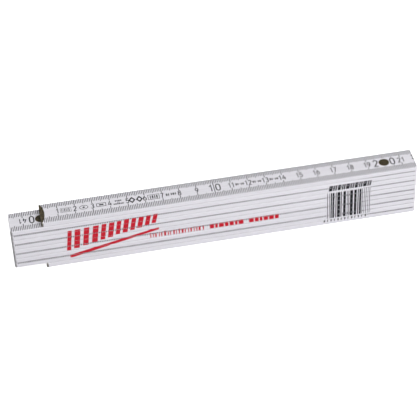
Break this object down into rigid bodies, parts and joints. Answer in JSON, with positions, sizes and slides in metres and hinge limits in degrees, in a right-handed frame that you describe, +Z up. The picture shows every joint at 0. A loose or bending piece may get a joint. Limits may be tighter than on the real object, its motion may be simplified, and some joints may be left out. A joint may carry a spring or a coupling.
{
  "type": "folding rule",
  "caption": "Slim folding rule drawn folded: flat white wooden blades stacked on sprung pivot joints, with flush metal rivets and capped free ends.",
  "frame": {"origin": "centre of the underside of the folded rule", "axes": "+X along the blades away from the zero end, +Y towards the back long side, +Z up through the stack; the blades turn about Z"},
  "size_m": [0.236, 0.016, 0.0344],
  "materials": {
    "lacquered_wood": "satin",
    "bronzed_rivet": "satin",
    "bronzed_cap": "satin",
    "spring_steel": "satin",
    "black_print": "matte",
    "red_print": "matte"
  },
  "bodies": {
    "segment_10": {"blade_10": "lacquered_wood", "plate_pins_10": "spring_steel", "boss_plate_9": "spring_steel", "pivot_rivet_9": "bronzed_rivet", "far_end_cap": "bronzed_cap"},
    "segment_9": {"blade_9": "lacquered_wood", "plate_pins_9": "spring_steel", "track_plate_9": "spring_steel", "spring_washer_9": "spring_steel", "boss_plate_8": "spring_steel", "pivot_rivet_8": "bronzed_rivet"},
    "segment_8": {"blade_8": "lacquered_wood", "plate_pins_8": "spring_steel", "track_plate_8": "spring_steel", "spring_washer_8": "spring_steel", "boss_plate_7": "spring_steel", "pivot_rivet_7": "bronzed_rivet"},
    "segment_7": {"blade_7": "lacquered_wood", "plate_pins_7": "spring_steel", "track_plate_7": "spring_steel", "spring_washer_7": "spring_steel", "boss_plate_6": "spring_steel", "pivot_rivet_6": "bronzed_rivet"},
    "segment_6": {"blade_6": "lacquered_wood", "plate_pins_6": "spring_steel", "track_plate_6": "spring_steel", "spring_washer_6": "spring_steel", "boss_plate_5": "spring_steel", "pivot_rivet_5": "bronzed_rivet"},
    "segment_5": {"blade_5": "lacquered_wood", "plate_pins_5": "spring_steel", "track_plate_5": "spring_steel", "spring_washer_5": "spring_steel", "boss_plate_4": "spring_steel", "pivot_rivet_4": "bronzed_rivet"},
    "segment_4": {"blade_4": "lacquered_wood", "plate_pins_4": "spring_steel", "track_plate_4": "spring_steel", "spring_washer_4": "spring_steel", "boss_plate_3": "spring_steel", "pivot_rivet_3": "bronzed_rivet"},
    "segment_3": {"blade_3": "lacquered_wood", "plate_pins_3": "spring_steel", "track_plate_3": "spring_steel", "spring_washer_3": "spring_steel", "boss_plate_2": "spring_steel", "pivot_rivet_2": "bronzed_rivet"},
    "segment_2": {"blade_2": "lacquered_wood", "plate_pins_2": "spring_steel", "track_plate_2": "spring_steel", "spring_washer_2": "spring_steel", "boss_plate_1": "spring_steel", "pivot_rivet_1": "bronzed_rivet"},
    "segment_1": {"blade_1": "lacquered_wood", "plate_pins_1": "spring_steel", "track_plate_1": "spring_steel", "spring_washer_1": "spring_steel", "zero_end_cap": "bronzed_cap"}
  },
  "joints": [
    {"name": "joint_180_cm", "type": "hinge", "parent": "segment_10", "child": "segment_9", "pos_m": [0.1, 0, 0.00332], "axis": [0, 0, 1], "range_deg": [-180, 180]},
    {"name": "joint_160_cm", "type": "hinge", "parent": "segment_9", "child": "segment_8", "pos_m": [-0.1, 0, 0.00679], "axis": [0, 0, 1], "range_deg": [-180, 180]},
    {"name": "joint_140_cm", "type": "hinge", "parent": "segment_8", "child": "segment_7", "pos_m": [0.1, 0, 0.01026], "axis": [0, 0, 1], "range_deg": [-180, 180]},
    {"name": "joint_120_cm", "type": "hinge", "parent": "segment_7", "child": "segment_6", "pos_m": [-0.1, 0, 0.01373], "axis": [0, 0, 1], "range_deg": [-180, 180]},
    {"name": "joint_100_cm", "type": "hinge", "parent": "segment_6", "child": "segment_5", "pos_m": [0.1, 0, 0.0172], "axis": [0, 0, 1], "range_deg": [-180, 180]},
    {"name": "joint_80_cm", "type": "hinge", "parent": "segment_5", "child": "segment_4", "pos_m": [-0.1, 0, 0.02067], "axis": [0, 0, 1], "range_deg": [-180, 180]},
    {"name": "joint_60_cm", "type": "hinge", "parent": "segment_4", "child": "segment_3", "pos_m": [0.1, 0, 0.02414], "axis": [0, 0, 1], "range_deg": [-180, 180]},
    {"name": "joint_40_cm", "type": "hinge", "parent": "segment_3", "child": "segment_2", "pos_m": [-0.1, 0, 0.02761], "axis": [0, 0, 1], "range_deg": [-180, 180]},
    {"name": "joint_20_cm", "type": "hinge", "parent": "segment_2", "child": "segment_1", "pos_m": [0.1, 0, 0.03108], "axis": [0, 0, 1], "range_deg": [-180, 180]}
  ]
}
